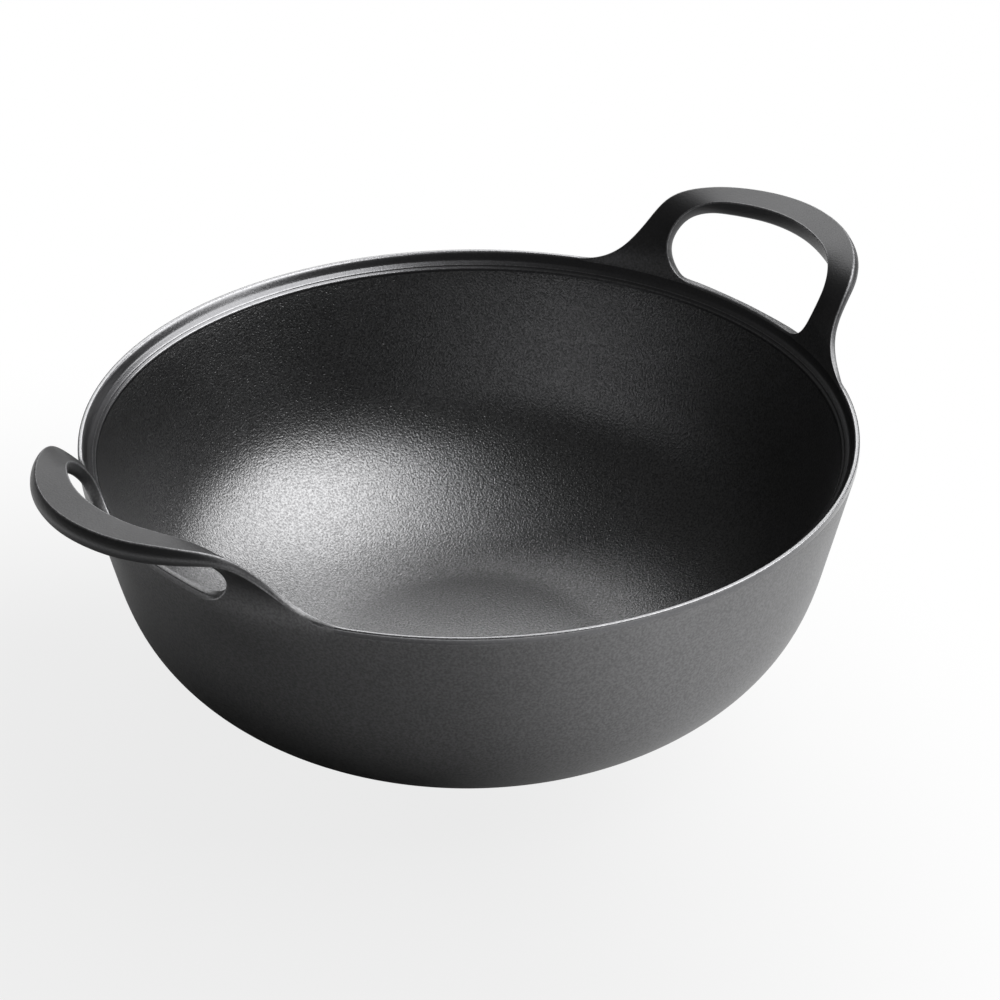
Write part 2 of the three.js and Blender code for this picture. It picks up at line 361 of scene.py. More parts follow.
def bezier(a, b, c, d, count):
    """Points and unit directions of a cubic curve, without its first point."""
    t = np.linspace(0, 1, count + 1)[1:, None]
    points = (1 - t) ** 3 * a + 3 * (1 - t) ** 2 * t * b + 3 * (1 - t) * t**2 * c + t**3 * d
    slopes = (1 - t) ** 2 * (b - a) + 2 * (1 - t) * t * (c - b) + t**2 * (d - c)
    return points, slopes / np.linalg.norm(slopes, axis=1, keepdims=True)


def thickness_at(height):
    """The wall thickens from its middle to the floor."""
    share = np.clip(1 - height / THICKENS_BELOW, 0, 1)
    return WALL_THICKNESS + (floor - WALL_THICKNESS) * share**2 * (3 - 2 * share)


band_foot = np.array([rim - BAND_STEP, top - BAND_HEIGHT])
wall_down = np.array([-math.sin(WALL_LEAN), -math.cos(WALL_LEAN)])
heel_top = band_foot + wall_down * (band_foot[1] - heel) / math.cos(WALL_LEAN)
straight = [band_foot + (heel_top - band_foot) * i / WALL_POINTS for i in range(1, WALL_POINTS + 1)]
curve, directions = bezier(
    heel_top,
    heel_top + wall_down * HEEL_SHOULDER,
    np.array([base + HEEL_RUN, 0.0]),
    np.array([base, 0.0]),
    HEEL_POINTS,
)
outer_wall = np.vstack([straight, curve])
along_wall = np.vstack([np.tile(wall_down, (WALL_POINTS, 1)), directions])
inward = np.stack([along_wall[:, 1], -along_wall[:, 0]], axis=1)
inner_wall = outer_wall + inward * thickness_at(outer_wall[:, 1])[:, None]
print("wall of", len(outer_wall), "points on each side")

# %% The rim and the whole profile
LIP_WIDTH = 1.8
LIP_FLARE = 0.8
LIP_FLAT = 0.7
LEDGE_DEPTH = 2.5
LEDGE_WIDTH = 1.15
LEDGE_FALL = 0.45
STEP_WIDTH = 0.75
FLAT_SHARES = (0.0, 0.5, 0.9)
# How far a point stands from a crisp edge on a level face, and on the slope between lip and ledge.
EDGE_HOLD = 0.25
SLOPE_HOLD = 0.45

lip_inner = rim - LIP_WIDTH
ledge = top - LEDGE_DEPTH
ledge_outer = lip_inner - LIP_FLARE
ledge_edge = ledge_outer - LEDGE_WIDTH
step = ledge - LEDGE_FALL
step_inner = ledge_edge - STEP_WIDTH

# Radius and height of each point. The small offsets from the named corners set how each corner is rounded.
lip_rows = [
    (rim - BAND_STEP, band_foot[1]),
    (rim, band_foot[1] + 0.5),
    (rim, top - EDGE_HOLD),
    (rim - 0.18, top),
    (rim - LIP_FLAT, top),
    (lip_inner + LIP_FLAT, top - 0.06),
    (lip_inner + EDGE_HOLD, top - SLOPE_HOLD),
]
ledge_rows = [
    (ledge_outer + EDGE_HOLD, ledge + SLOPE_HOLD),
    (ledge_outer, ledge + 0.15),
    (ledge_outer - EDGE_HOLD, ledge),
    (ledge_edge + EDGE_HOLD, step),
    (ledge_edge + 0.05, step - 0.2),
    (ledge_edge - 0.05, step - 0.45),
    (ledge_edge - 0.3, step - 0.65),
    (step_inner + 0.1, step - 0.9),
    (step_inner - 0.05, step - 1.3),
]
underside = [(base * share, 0.0) for share in FLAT_SHARES]
floor_rows = [(base * share, floor) for share in reversed(FLAT_SHARES)]
profile = np.vstack([underside, outer_wall[::-1], lip_rows, ledge_rows, inner_wall, floor_rows])

# Rows by which later steps find the lip, and the rows where the rim meets the bowl outside and inside.
first_lip = len(underside) + len(outer_wall)
band_top = first_lip + 1
last_lip = first_lip + len(lip_rows) - 1
ring_from = first_lip - 1
ring_to = last_lip + len(ledge_rows) + 1
print("profile of", len(profile), "points, lip from row", first_lip, "to", last_lip)

# %% [markdown]
# ## Turning the profile
# Geometry Nodes turn the profile round the axis. A flat grid has one row for each point of the profile and
# one column for each step round. Each of its points looks up its row's radius and height, and swings out to
# its column's angle. The seam and the two poles are then welded. A Screw modifier could turn it too, but
# here row and column are stored, so that the next steps can find any point of the bowl again.

# %% The turning tree
def turning_tree():
    """A node tree that turns the points of a profile round the Z axis."""
    tree = bpy.data.node_groups.new("Turned profile", "GeometryNodeTree")
    sockets = tree.interface
    sockets.new_socket("Profile", in_out="INPUT", socket_type="NodeSocketGeometry")
    sockets.new_socket("Columns", in_out="INPUT", socket_type="NodeSocketInt")
    sockets.new_socket("Weld distance", in_out="INPUT", socket_type="NodeSocketFloat")
    sockets.new_socket("Finish", in_out="INPUT", socket_type="NodeSocketMaterial")
    sockets.new_socket("Turned", in_out="OUTPUT", socket_type="NodeSocketGeometry")
    given = add(tree, "NodeGroupInput").outputs
    columns = given["Columns"]

    # The last column of the grid lies on the first one, as the seam.
    rows = add(tree, "GeometryNodeAttributeDomainSize", {"Geometry": given["Profile"]})
    seam = add(tree, "FunctionNodeIntegerMath", {0: columns, 1: 1}, operation="ADD").outputs[0]
    grid = add(
        tree,
        "GeometryNodeMeshGrid",
        {"Vertices X": rows.outputs["Point Count"], "Vertices Y": seam},
    )
    index = add(tree, "GeometryNodeInputIndex").outputs[0]
    row = add(tree, "FunctionNodeIntegerMath", {0: index, 1: seam}, operation="DIVIDE_FLOOR").outputs[0]
    stride = add(tree, "FunctionNodeIntegerMath", {0: index, 1: seam}, operation="MODULO").outputs[0]
    column = add(tree, "FunctionNodeIntegerMath", {0: stride, 1: columns}, operation="MODULO").outputs[0]

    # Each point takes the place of its row's point in the profile, and swings round by its column.
    looked_up = add(
        tree,
        "GeometryNodeSampleIndex",
        {
            "Geometry": given["Profile"],
            "Value": add(tree, "GeometryNodeInputPosition").outputs[0],
            "Index": row,
        },
        data_type="FLOAT_VECTOR",
    )
    share = add(tree, "ShaderNodeMath", {0: stride, 1: columns}, operation="DIVIDE").outputs[0]
    angle = add(tree, "ShaderNodeMath", {0: share, 1: 2 * math.pi}, operation="MULTIPLY").outputs[0]
    swung = add(
        tree,
        "ShaderNodeVectorRotate",
        {"Vector": looked_up.outputs["Value"], "Angle": angle},
        rotation_type="Z_AXIS",
    )
    shape = add(
        tree,
        "GeometryNodeSetPosition",
        {"Geometry": grid.outputs["Mesh"], "Position": swung.outputs["Vector"]},
    ).outputs[0]
    for name, number in (("row", row), ("column", column)):
        shape = add(
            tree,
            "GeometryNodeStoreNamedAttribute",
            {"Geometry": shape, "Name": name, "Value": number},
            data_type="INT",
            domain="POINT",
        ).outputs[0]
    welded = add(
        tree,
        "GeometryNodeMergeByDistance",
        {"Geometry": shape, "Distance": given["Weld distance"]},
    )
    realized = add(tree, "GeometryNodeRealizeInstances", {"Geometry": welded.outputs[0]})
    finished = add(
        tree,
        "GeometryNodeSetMaterial",
        {"Geometry": realized.outputs[0], "Material": given["Finish"]},
    )
    add(tree, "NodeGroupOutput", {"Turned": finished.outputs[0]})
    return tree


turning = turning_tree()
print("turning tree of", len(turning.nodes), "nodes")

# %% The turned bowl
COLUMNS = 128
HALF_ROUND = COLUMNS // 2
WELD = 0.001


def baked(obj):
    """The object's shape after its modifiers, as a plain mesh."""
    graph = bpy.context.evaluated_depsgraph_get()
    mesh = bpy.data.meshes.new_from_object(obj.evaluated_get(graph))
    obj.modifiers.clear()
    return mesh


def turned(name, rows, columns, finish):
    """A mesh turned from a profile of (radius, height) in mm."""
    line = bpy.data.meshes.new(name)
    line.from_pydata(
        [(r * MM, 0, z * MM) for r, z in rows],
        [(i, i + 1) for i in range(len(rows) - 1)],
        [],
    )
    lathe = bpy.data.objects.new(name, line)
    bpy.context.scene.collection.objects.link(lathe)
    modifier = lathe.modifiers.new("Turned profile", "NODES")
    modifier.node_group = turning
    sizes = {"Columns": columns, "Weld distance": WELD * MM, "Finish": finish}
    for socket in turning.interface.items_tree:
        if socket.in_out == "INPUT" and socket.name in sizes:
            modifier[socket.identifier] = sizes[socket.name]
    mesh = baked(lathe)
    bpy.data.objects.remove(lathe)
    return mesh


bowl_mesh = turned("turned bowl", profile, COLUMNS, outside_iron)
print("turned bowl:", len(bowl_mesh.vertices), "points,", len(bowl_mesh.polygons), "faces")

# %% [markdown]
# ## The handles' strap
# Each handle is one strap. It stands upright on the lip on two flared legs, leans out, and closes over a
# finger window as a level grip. A sweep along one path would keep one width and one twist. So two edge
# curves describe the strap, the outer edge and the edge of the window, and sections across it are set
# between them. Each curve is given for one half and mirrored.

# %% The strap's two edges
# Sizes of the strap are in millimetres.
HANDLE_RISE = 22.5
GRIP_WIDTH = 10.5
GRIP_DIP = 0.9
GRIP_BEND = 39.5
WINDOW_BEND = 37.5
LEG_SETBACK = 0.45
WINDOW_ANGLE = math.radians(14.4)
FLARE_ANGLE = math.radians(31.5)
PATH_POINTS = 600
STRETCH_POINTS = 60

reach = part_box("handle_right")[1].x / MM
window_reach = reach - GRIP_WIDTH
leg_face = lip_inner + LEG_SETBACK
window_rise = HANDLE_RISE - GRIP_DIP


def around(angle, radius, height):
    """A point of the right handle from its angle round the pan, its radius and its height over the rim."""
    return np.array([radius * math.cos(angle), radius * math.sin(angle), top + height])


def on_bend(crown, bend, degrees, height):
    """A point on a plan arc with its crown on the X axis."""
    turn = math.radians(degrees)
    return np.array([crown - bend + bend * math.cos(turn), bend * math.sin(turn), top + height])


def smooth_path(points):
    """Points evenly spaced along a centripetal Catmull-Rom curve."""
    points = np.array(points)
    points = np.vstack([2 * points[0] - points[1], points, 2 * points[-1] - points[-2]])
    path = []
    for p0, p1, p2, p3 in zip(points, points[1:], points[2:], points[3:]):
        d0, d1, d2 = (np.linalg.norm(b - a) ** 0.5 for a, b in ((p0, p1), (p1, p2), (p2, p3)))
        leave = ((p1 - p0) / d0 - (p2 - p0) / (d0 + d1) + (p2 - p1) / d1) * d1
        arrive = ((p2 - p1) / d1 - (p3 - p1) / (d1 + d2) + (p3 - p2) / d2) * d1
        t = np.linspace(0, 1, STRETCH_POINTS, endpoint=False)[:, None]
        cubic = p1 + leave * t + (3 * (p2 - p1) - 2 * leave - arrive) * t**2
        path.append(cubic + (2 * (p1 - p2) + leave + arrive) * t**3)
    path = np.vstack([*path, points[-2]])
    travelled = np.concatenate([[0], np.cumsum(np.linalg.norm(np.diff(path, axis=0), axis=1))])
    even = np.linspace(0, travelled[-1], PATH_POINTS)
    return np.stack([np.interp(even, travelled, path[:, k]) for k in range(3)], axis=1)


def mirrored(half):
    """A path through one half's points and their mirror images across the XZ plane."""
    other = [p * (1, -1, 1) for p in half[:-1]]
    return smooth_path([*other, half[-1], *reversed(half[:-1])])


# From the foot of a leg to the crown of the grip. Angles and heights are shares of the flare and the rise.
outer_edge = mirrored(
    [
        around(FLARE_ANGLE, leg_face, 0),
        around(FLARE_ANGLE * 0.9, leg_face, HANDLE_RISE * 0.04),
        around(FLARE_ANGLE * 0.8, leg_face + 0.3, HANDLE_RISE * 0.15),
        around(FLARE_ANGLE * 0.73, leg_face + 1.3, HANDLE_RISE * 0.31),
        around(FLARE_ANGLE * 0.67, leg_face + 4.4, HANDLE_RISE * 0.52),
        on_bend(reach, GRIP_BEND, 62, HANDLE_RISE * 0.86),
        on_bend(reach, GRIP_BEND, 46, HANDLE_RISE * 0.965),
        on_bend(reach, GRIP_BEND, 24, HANDLE_RISE * 0.99),
        on_bend(reach, GRIP_BEND, 0, HANDLE_RISE),
    ]
)
window_edge = mirrored(
    [
        around(WINDOW_ANGLE * 0.78, leg_face, 0),
        around(WINDOW_ANGLE * 0.94, leg_face + 0.1, window_rise * 0.06),
        around(WINDOW_ANGLE * 1.05, leg_face + 0.4, window_rise * 0.21),
        around(WINDOW_ANGLE * 1.11, leg_face + 2.1, window_rise * 0.47),
        around(WINDOW_ANGLE * 1.04, leg_face + 6.4, window_rise * 0.75),
        on_bend(window_reach, WINDOW_BEND, 36, window_rise * 0.935),
        on_bend(window_reach, WINDOW_BEND, 18, window_rise * 0.985),
        on_bend(window_reach, WINDOW_BEND, 0, window_rise),
    ]
)
print("strap edges of", len(outer_edge), "and", len(window_edge), "points")

# %% [markdown]
# ## The strap's sections
# The strap is thin at the legs and thicker at the grip. Along the grip's outer edge runs the line where the
# two halves of the mould met. A bevelled bar would not show it, so each section is drawn point by point,
# with the slant that lets a pattern be drawn out of the sand.

# %% The strap's sections
GRIP_THICKNESS = 4.4
LEG_THICKNESS = 3.2
ROOT_THICKNESS = 2.9
LEG_THINNING = 1.4
GRIP_THINNING = -0.6
GRIP_DRAFT = 1.0
PLAIN_DRAFT = 0.25
EDGE_MARGIN = 0.3
EDGE_SUPPORT = 0.5
# Where the grip passes into the leg and the leg into its root, from 0 at the crown to 1 at the rim.
GRIP_TO_LEG = (0.3, 0.7)
LEG_TO_ROOT = (0.72, 1)
# A leg stands on these columns of the bowl, from first to last, counted from the middle of its handle.
ROOT_COLUMNS = (4, 11)
STRAP_RINGS = 32


def smoothstep(value, low, high):
    """A share that rises gently from 0 at the low value to 1 at the high one."""
    share = min(max((value - low) / (high - low), 0), 1)
    return share * share * (3 - 2 * share)


def strap_face(along, across):
    """The strap's upper face: along runs from leg to leg, across from the window to the outer edge."""
    at = along * (len(outer_edge) - 1)
    i = min(int(at), len(outer_edge) - 2)
    inner = window_edge[i] + (window_edge[i + 1] - window_edge[i]) * (at - i)
    outer = outer_edge[i] + (outer_edge[i + 1] - outer_edge[i]) * (at - i)

    def mixed(start, end):
        return start + (end - start) * across

    angle = mixed(math.atan2(inner[1], inner[0]), math.atan2(outer[1], outer[0]))
    radius = mixed(math.hypot(inner[0], inner[1]), math.hypot(outer[0], outer[1]))
    return around(angle, radius, mixed(inner[2], outer[2]) - top)


def strap_inward(along, across):
    """The direction into the strap from that face: outwards at the rim, downwards at the grip."""
    nearby = 0.004
    run = strap_face(min(along + nearby, 1), across) - strap_face(max(along - nearby, 0), across)
    width = strap_face(along, 1) - strap_face(along, 0)
    normal = np.cross(run, width)
    return normal / np.linalg.norm(normal)


def drafted_end(width, thickness, draft):
    """Five points round one edge of the strap's section, from its upper face to its lower one.

    The two halves of the mould met in the middle of this edge. Each half leans away from the meeting
    line, because a pattern could not be drawn out of the sand otherwise.
    """
    return [
        (width - draft, 0.12),
        (width - 0.35 * draft, 0.28 * thickness),
        (width, 0.52 * thickness),
        (width - 0.25 * draft, 0.76 * thickness),
        (width - 0.9 * draft, thickness - 0.1),
    ]


def strap_section(along):
    """One ring of the strap: its upper face, its outer edge, its lower face and its window edge."""
    from_crown = abs(2 * along - 1)
    rooted = smoothstep(from_crown, *LEG_TO_ROOT)
    gripped = 1 - smoothstep(from_crown, *GRIP_TO_LEG)
    thickness = LEG_THICKNESS
    thickness += (ROOT_THICKNESS - LEG_THICKNESS) * rooted + (GRIP_THICKNESS - LEG_THICKNESS) * gripped
    thinning = LEG_THINNING + (GRIP_THINNING - LEG_THINNING) * gripped
    draft = PLAIN_DRAFT + (GRIP_DRAFT - PLAIN_DRAFT) * gripped
    width = np.linalg.norm(strap_face(along, 1) - strap_face(along, 0))
    near = PLAIN_DRAFT + EDGE_MARGIN
    far = width - draft - EDGE_MARGIN
    # The points across a face are evenly spaced at the root, and crowd to the edges further up.
    count = ROOT_COLUMNS[1] - ROOT_COLUMNS[0] + 1
    even = np.linspace(near, far, count)
    held = np.linspace(near + EDGE_SUPPORT, far - EDGE_SUPPORT, count - 2)
    held = np.concatenate([[near], held, [far]])
    across = even + (held - even) * (1 - rooted)
    outline = [(x, 0) for x in across]
    outline += drafted_end(width, thickness, draft)
    outline += [(x, thickness) for x in across[::-1]]
    outline += [(width - x, y) for x, y in reversed(drafted_end(width, thickness, PLAIN_DRAFT))]
    ring = []
    for x, y in outline:
        share = x / width
        depth = y * (thickness - thinning * share) / thickness
        ring.append(strap_face(along, share) + strap_inward(along, share) * depth)
    return ring


sections = [strap_section(i / STRAP_RINGS) for i in range(1, STRAP_RINGS)]
print("strap of", len(sections), "rings of", len(sections[0]), "points")

# %% [markdown]
# ## One poured cage
# In the mould the iron runs from the lip straight up into the legs. A union of bowl and straps would meet in
# hard lines. So the cage does as the iron does: where a leg stands, the faces of the lip are taken out, and
# the strap's first ring is joined to the edge of that opening. A subdivision surface then rounds the joint
# as a fillet. Under each leg the wall swells a little, less under the window, and the swelling fades out
# below the rim.

# %% The swelling under the legs
# Swelling and depth are in millimetres, and its ends are counted in columns from the middle of a handle.
SWELL = 1.3
SWELL_DEPTH = 16.0
SWELL_BETWEEN = 0.3
SWELL_ENDS = (5.5, 11.5)
SWELL_LIP_ROWS = 4

cage = bmesh.new()
cage.from_mesh(bowl_mesh)
row_layer = cage.verts.layers.int["row"]
column_layer = cage.verts.layers.int["column"]
grid = {(v[row_layer], v[column_layer]): v for v in cage.verts}

swollen = 0
for handle in (0, 1):
    for away in range(-ROOT_COLUMNS[1], ROOT_COLUMNS[1] + 1):
        swell = 1 - smoothstep(abs(away), *SWELL_ENDS)
        swell *= SWELL_BETWEEN + (1 - SWELL_BETWEEN) * smoothstep(abs(away), 1, ROOT_COLUMNS[0] + 1)
        for row in range(first_lip + SWELL_LIP_ROWS):
            vert = grid.get((row, (handle * HALF_ROUND + away) % COLUMNS))
            # The underside's pole is one point, stored under one column only.
            if vert is None:
                continue
            sunk = (top - BAND_HEIGHT) - vert.co.z / MM
            fade = 1 - smoothstep(sunk, 0, SWELL_DEPTH)
            outward = Vector((vert.co.x, vert.co.y, 0)).normalized()
            vert.co += outward * SWELL * MM * swell * fade
            swollen += swell * fade > 0
print("swelling moves", swollen, "points by up to", SWELL, "mm")

# %% [markdown]
# ## Which face belongs where
# Faces carry a number that says which piece they belong to and which finish they have. The rim's band and
# the sills of the finger windows were cast against the same fine sand as the outside, so these faces of the
# rim have the outside's finish. The last row towards the bowl has that of the inside.

# %% Which face belongs where
OUTSIDE, INSIDE, RIM, RIM_OUTSIDE, RIM_INSIDE, HANDLE_RIGHT, HANDLE_LEFT = range(7)


def in_window(column):
    """Whether a column of the lip runs under a finger window."""
    return min(column % HALF_ROUND, HALF_ROUND - column % HALF_ROUND) <= ROOT_COLUMNS[0]


for face in cage.faces:
    rows = [v[row_layer] for v in face.verts]
    if max(rows) <= ring_from:
        face.material_index = OUTSIDE
    elif min(rows) >= ring_to:
        face.material_index = INSIDE
    elif max(rows) <= band_top:
        face.material_index = RIM_OUTSIDE
    elif max(rows) <= last_lip and all(in_window(v[column_layer]) for v in face.verts):
        face.material_index = RIM_OUTSIDE
    elif min(rows) >= ring_to - 1:
        face.material_index = RIM_INSIDE
    else:
        face.material_index = RIM
kinds = [face.material_index for face in cage.faces]
print("faces outside, inside and on the rim:", kinds.count(OUTSIDE), kinds.count(INSIDE), kinds.count(RIM))

# %% [markdown]
# ## The straps joined to the lip
# The edge of the opening under a leg has as many points as a ring of the strap. So each point has one
# partner, and a loop can join ring to ring with four-sided faces, from one leg over the grip to the other.
# The left handle is the right one turned by half a round.

# %% The straps joined to the lip
def leg_columns(handle, side):
    """The columns under one leg, from the window outwards."""
    near, far = ROOT_COLUMNS
    return [(handle * HALF_ROUND + side * c) % COLUMNS for c in range(near, far + 1)]


def opening(handle, side):
    """The points round the opening under one leg, in the order of the strap's sections."""
    columns = leg_columns(handle, side)
    upper = [grid[last_lip, c] for c in columns]
    outer = [grid[r, columns[-1]] for r in range(last_lip - 1, first_lip, -1)]
    lower = [grid[first_lip, c] for c in reversed(columns)]
    inner = [grid[r, columns[0]] for r in range(first_lip + 1, last_lip)]
    return upper + outer + lower + inner


def open_lip(handle, side):
    """Take out the faces of the lip where a leg stands."""
    columns = set(leg_columns(handle, side))
    rows = range(first_lip, last_lip + 1)
    inside = [
        face
        for face in cage.faces
        if all(v[column_layer] in columns and v[row_layer] in rows for v in face.verts)
    ]
    bmesh.ops.delete(cage, geom=inside, context="FACES")


for handle, number in ((0, HANDLE_RIGHT), (1, HANDLE_LEFT)):
    half_turn = Matrix.Rotation(math.pi * handle, 3, "Z")
    open_lip(handle, -1)
    open_lip(handle, 1)
    rings = [opening(handle, -1)]
    for section in sections:
        rings.append([cage.verts.new(half_turn @ (Vector(p) * MM)) for p in section])
    rings.append(opening(handle, 1))
    for lower, upper in zip(rings, rings[1:]):
        for j in range(len(lower)):
            k = (j + 1) % len(lower)
            cage.faces.new((lower[j], lower[k], upper[k], upper[j])).material_index = number

loose = [v for v in cage.verts if not v.link_faces]
bmesh.ops.delete(cage, geom=loose, context="VERTS")
bmesh.ops.recalc_face_normals(cage, faces=cage.faces)
open_edges = sum(not e.is_manifold for e in cage.edges)
poured = bpy.data.meshes.new("poured cage")
cage.to_mesh(poured)
cage.free()
print("cage:", len(poured.polygons), "faces,", open_edges, "open edges")

# %% [markdown]
# ## The smoothed casting
# The cage is smoothed as one body, before it is cut into pieces. Pieces smoothed one by one would each
# round off at their open edges, and a crease would show along every cut. Each face number needs a material
# slot to point to, so one finish fills all slots for now.

# %% The smoothed casting
SUBDIVISIONS = 2

casting = bpy.data.objects.new("casting", poured)
bpy.context.scene.collection.objects.link(casting)
for number in range(HANDLE_LEFT + 1):
    poured.materials.append(outside_iron)
smoother = casting.modifiers.new("Smooth", "SUBSURF")
smoother.levels = SUBDIVISIONS
smoother.render_levels = SUBDIVISIONS
whole = baked(casting)
bpy.data.objects.remove(casting)
print("smoothed casting:", len(whole.vertices), "points,", len(whole.polygons), "faces")

# %% [markdown]
# ## Where hands and towels rub, and painted highlights on the edges
# The film wears thin where the iron stands proud. The lighter colour that the finishes give such edges is
# partly this wear and partly a painted highlight. A vertex stands proud when its neighbours lie below its
# tangent plane, so the mean fall to its neighbours, divided by their squared distance, measures the bend
# there. A Bevel node could find edges too, but only in Cycles and anew in each sample. So the bend is
# worked out once and stored as an attribute that the material reads.

# %% Edge wear and painted edge highlights
# Bends per millimetre at which the wear and painted highlight begin and at which they are complete.
WEAR_AND_GLINT_FROM = 0.15
WEAR_AND_GLINT_TO = 0.6

count = len(whole.vertices)
points = np.empty(count * 3)
whole.vertices.foreach_get("co", points)
points = points.reshape(-1, 3) / MM
normals = np.empty(count * 3)
whole.vertex_normals.foreach_get("vector", normals)
normals = normals.reshape(-1, 3)
ends = np.empty(len(whole.edges) * 2, int)
whole.edges.foreach_get("vertices", ends)
a, b = ends.reshape(-1, 2).T
gap = points[b] - points[a]
squared = (gap**2).sum(1)
bend = np.zeros(count)
ties = np.zeros(count)
np.add.at(bend, a, -2 * (gap * normals[a]).sum(1) / squared)
np.add.at(bend, b, 2 * (gap * normals[b]).sum(1) / squared)
np.add.at(ties, a, 1)
np.add.at(ties, b, 1)
# The share of the lighter edge colour: partly wear, partly painted highlight.
wear_and_glint = np.clip((bend / ties - WEAR_AND_GLINT_FROM) / (WEAR_AND_GLINT_TO - WEAR_AND_GLINT_FROM), 0, 1)
whole.attributes.new(EDGE_WEAR_AND_GLINT, "FLOAT", "POINT").data.foreach_set("value", wear_and_glint)
whole.attributes.new("flow", "FLOAT_VECTOR", "POINT").data.foreach_set("vector", normals.ravel())
print("worn points:", np.count_nonzero(wear_and_glint), "of", count)

# %% [markdown]
# ## Parting the casting
# Bowl, rim and handles are made as pieces of their own, each a closed body. The cuts follow the mesh's
# own loops, and each cut is closed on both sides. So that no cut shows as a line, every piece keeps the
# normals that the whole casting had there.

# %% Parting the casting
# The bowl's and the rim's cuts round the pan lie below this height, and the legs' cuts above it.
CUT_HEIGHT = top - BAND_HEIGHT - 1.0


def part_off(name, numbers, finishes):
    """One piece of the casting: the faces with the given numbers, closed at its cuts."""
    body = bmesh.new()
    body.from_mesh(whole)
    others = [f for f in body.faces if f.material_index not in numbers]
    bmesh.ops.delete(body, geom=others, context="FACES")
    for face in body.faces:
        face.smooth = True
        face.material_index = numbers.index(face.material_index)
    skin = len(body.faces)
    cut = [e for e in body.edges if e.is_boundary]
    round_cut = [e for e in cut if all(v.co.z < CUT_HEIGHT * MM for v in e.verts)]
    leg_cuts = [e for e in cut if e not in set(round_cut)]
    if round_cut:
        bmesh.ops.bridge_loops(body, edges=round_cut)
    filled = bmesh.ops.holes_fill(body, edges=leg_cuts)["faces"]
    bmesh.ops.triangulate(body, faces=filled)
    mesh = bpy.data.meshes.new(name)
    body.to_mesh(mesh)
    body.free()
    flow = np.empty(len(mesh.vertices) * 3)
    mesh.attributes["flow"].data.foreach_get("vector", flow)
    corners = np.empty(len(mesh.loops), int)
    mesh.loops.foreach_get("vertex_index", corners)
    mesh.normals_split_custom_set(flow.reshape(-1, 3)[corners])
    mesh.attributes.remove(mesh.attributes["flow"])
    for finish in finishes:
        mesh.materials.append(finish)
    piece = bpy.data.objects.new(name, mesh)
    bpy.context.scene.collection.objects.link(piece)
    print(name, "of", skin, "faces, closed with", len(mesh.polygons) - skin)
    return piece


bowl = part_off("iron_bowl", [OUTSIDE, INSIDE], [outside_iron, inside_iron])
lip = part_off("iron_rim", [RIM, RIM_OUTSIDE, RIM_INSIDE], [rim_iron, outside_iron, inside_iron])
right = part_off("iron_handle_right", [HANDLE_RIGHT], [handle_iron])
left = part_off("iron_handle_left", [HANDLE_LEFT], [handle_iron])

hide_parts("base_plate", "bowl_foot", "bowl_heel", "bowl_wall")
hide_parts("rim_ring")
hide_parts("handle_right")
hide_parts("handle_left")
for piece, slot in ((bowl, "bowl_iron"), (lip, "rim_iron"), (right, "handle_iron"), (left, "handle_iron")):
    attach(piece, "root")

# %% [markdown]
# ## Light
# Two soft lamps light the pan. The key lamp stands on the right, a little behind it, and draws the silvery
# pool on the left of the inside, as its own mirror image there. A weaker and smaller one straight behind is
# what level faces mirror. Everything else is a dim room, so the iron stays black where neither lamp shows.
# A bright room all round would be simpler, but it would turn black iron grey.

# %% Light
ROOM_LIGHT = 0.05


def lamp(name, turn, height, distance, size, power):
    """A soft square lamp that faces the pan. Turn is measured from straight behind it to the right.

    Turn and height are in degrees, distance and size in metres, and power is in watts.
    """
    light = bpy.data.lights.new(name, "AREA")
    light.shape = "SQUARE"
    light.size = size
    light.energy = power
    turn = math.radians(turn)
    height = math.radians(height)
    level = math.cos(height)
    spot = in_view(
        math.sin(turn) * level * distance,
        math.cos(turn) * level * distance,
        math.sin(height) * distance,
    )
    made = bpy.data.objects.new(name, light)
    made.location = spot + Vector((0, 0, RIM_HEIGHT / 2))
    made.rotation_euler = spot.to_track_quat("Z", "Y").to_euler()
    bpy.context.scene.collection.objects.link(made)
    return made


lamps = [
    lamp("Key lamp", turn=78, height=51, distance=1.15, size=1.2, power=17.2),
    lamp("Back lamp", turn=1, height=36.5, distance=1.3, size=0.73, power=4.9),
]
room = bpy.data.worlds.new("Dim room")
room.use_nodes = True
bpy.context.scene.world = room
background = room.node_tree.nodes["Background"].inputs
background["Color"].default_value = colour("#ffffff")
background["Strength"].default_value = ROOM_LIGHT
bpy.context.scene.view_settings.view_transform = "Standard"
for made in lamps:
    print(made.name, "at", [round(v, 2) for v in made.location])

# %% [markdown]
# ## Floor and background
# The pan stands on a round sheet of grey paper that curves up far away, so that there is no horizon. A sheet
# as white as the background would light the dark iron too strongly from below. So the paper itself is grey,
# and passes into plain white for the eye and for reflections alone, with no more light on the pan. Round the
# pan some of the paper is left to see, and that holds the shadow. The white grows with the distance from a
# point to the left in front. So the wall on that side mirrors grey paper and stays dark, and on the right
# the iron mirrors the white glow, which is painted light and no lamp.

# %% The paper
# The point from which the white grows, and for the eye and for reflections the two distances between
# which it grows, with its share at the first of them.
SHADE_ACROSS = -120 * MM
SHADE_AWAY = -120 * MM
EYE_WHITE = (120 * MM, 300 * MM, 0.82)
GLOSS_WHITE = (110 * MM, 250 * MM, 0.0)
# Reflections find the white on the near part of the sheet only, and grey paper beyond.
PAPER_END = (900 * MM, 1600 * MM)

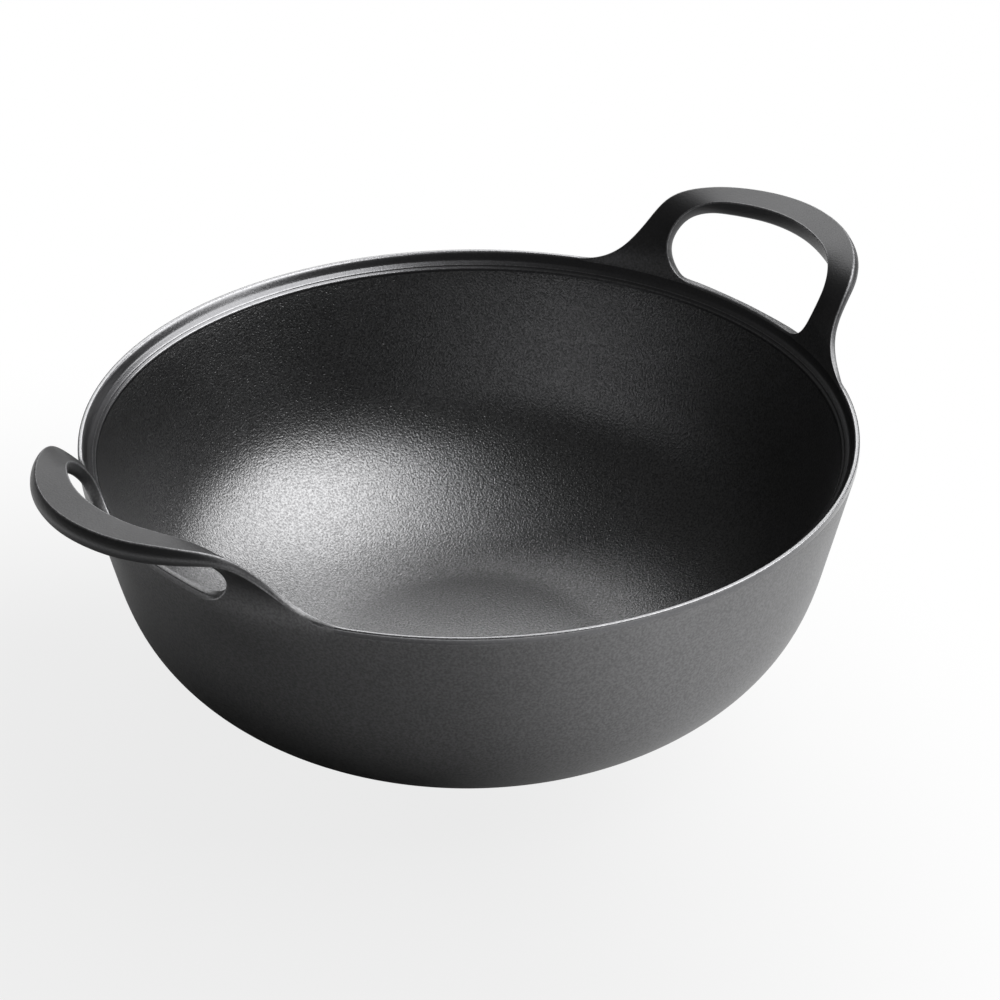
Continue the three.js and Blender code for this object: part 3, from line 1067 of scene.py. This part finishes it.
paper = bpy.data.materials.new("Grey paper")
paper.use_nodes = True
paper.cycles.emission_sampling = "NONE"
tree = paper.node_tree
path = add(tree, "ShaderNodeLightPath").outputs
place = add(tree, "ShaderNodeTexCoord").outputs["Object"]
shade = in_view(SHADE_ACROSS, SHADE_AWAY, 0)
away = add(tree, "ShaderNodeVectorMath", {0: place, 1: shade}, operation="DISTANCE").outputs["Value"]
shine = add(
    tree,
    "ShaderNodeMath",
    {0: path["Is Glossy Ray"], 1: path["Is Transmission Ray"]},
    operation="MAXIMUM",
).outputs[0]
shares = []
for ray, (near, far, least) in ((path["Is Camera Ray"], EYE_WHITE), (shine, GLOSS_WHITE)):
    white = add(
        tree,
        "ShaderNodeMapRange",
        {"Value": away, "From Min": near, "From Max": far, "To Min": least, "To Max": 1.0},
        interpolation_type="SMOOTHSTEP",
    ).outputs["Result"]
    shares.append(add(tree, "ShaderNodeMath", {0: ray, 1: white}, operation="MULTIPLY").outputs[0])
seen, reflected = shares
near_part = add(
    tree,
    "ShaderNodeMapRange",
    {"Value": away, "From Min": PAPER_END[0], "From Max": PAPER_END[1], "To Min": 1.0, "To Max": 0.0},
    interpolation_type="SMOOTHSTEP",
).outputs["Result"]
reflected = add(tree, "ShaderNodeMath", {0: reflected, 1: near_part}, operation="MULTIPLY").outputs[0]
share = add(tree, "ShaderNodeMath", {0: seen, 1: reflected}, operation="MAXIMUM").outputs[0]
sheet = add(tree, "ShaderNodeBsdfDiffuse", {"Color": colour("#a0a0a0")}).outputs[0]
# The white is a glow and no lamp: the background for the eye, and painted light in the iron's reflections.
glow = add(tree, "ShaderNodeEmission", {"Color": colour("#ffffff"), "Strength": 1.0}).outputs[0]
both = add(tree, "ShaderNodeMixShader", {"Fac": share, 1: sheet, 2: glow}).outputs[0]
tree.nodes.remove(tree.nodes["Principled BSDF"])
tree.links.new(both, tree.nodes["Material Output"].inputs["Surface"])
print("paper of", len(tree.nodes), "nodes")

# %% The sheet
# Radius and height in millimetres. The sheet lies a little lower than the base, so that the two faces are
# not in one plane.
SHEET_HEIGHT = -0.1
SHEET_ROWS = [
    (0, SHEET_HEIGHT),
    (1000, SHEET_HEIGHT),
    (3600, SHEET_HEIGHT),
    (4300, 60),
    (4700, 350),
    (4850, 1300),
]
SHEET_COLUMNS = 64

sweep = bpy.data.objects.new("floor", turned("floor", SHEET_ROWS, SHEET_COLUMNS, paper))
bpy.context.scene.collection.objects.link(sweep)
print("sheet of", len(sweep.data.polygons), "faces")
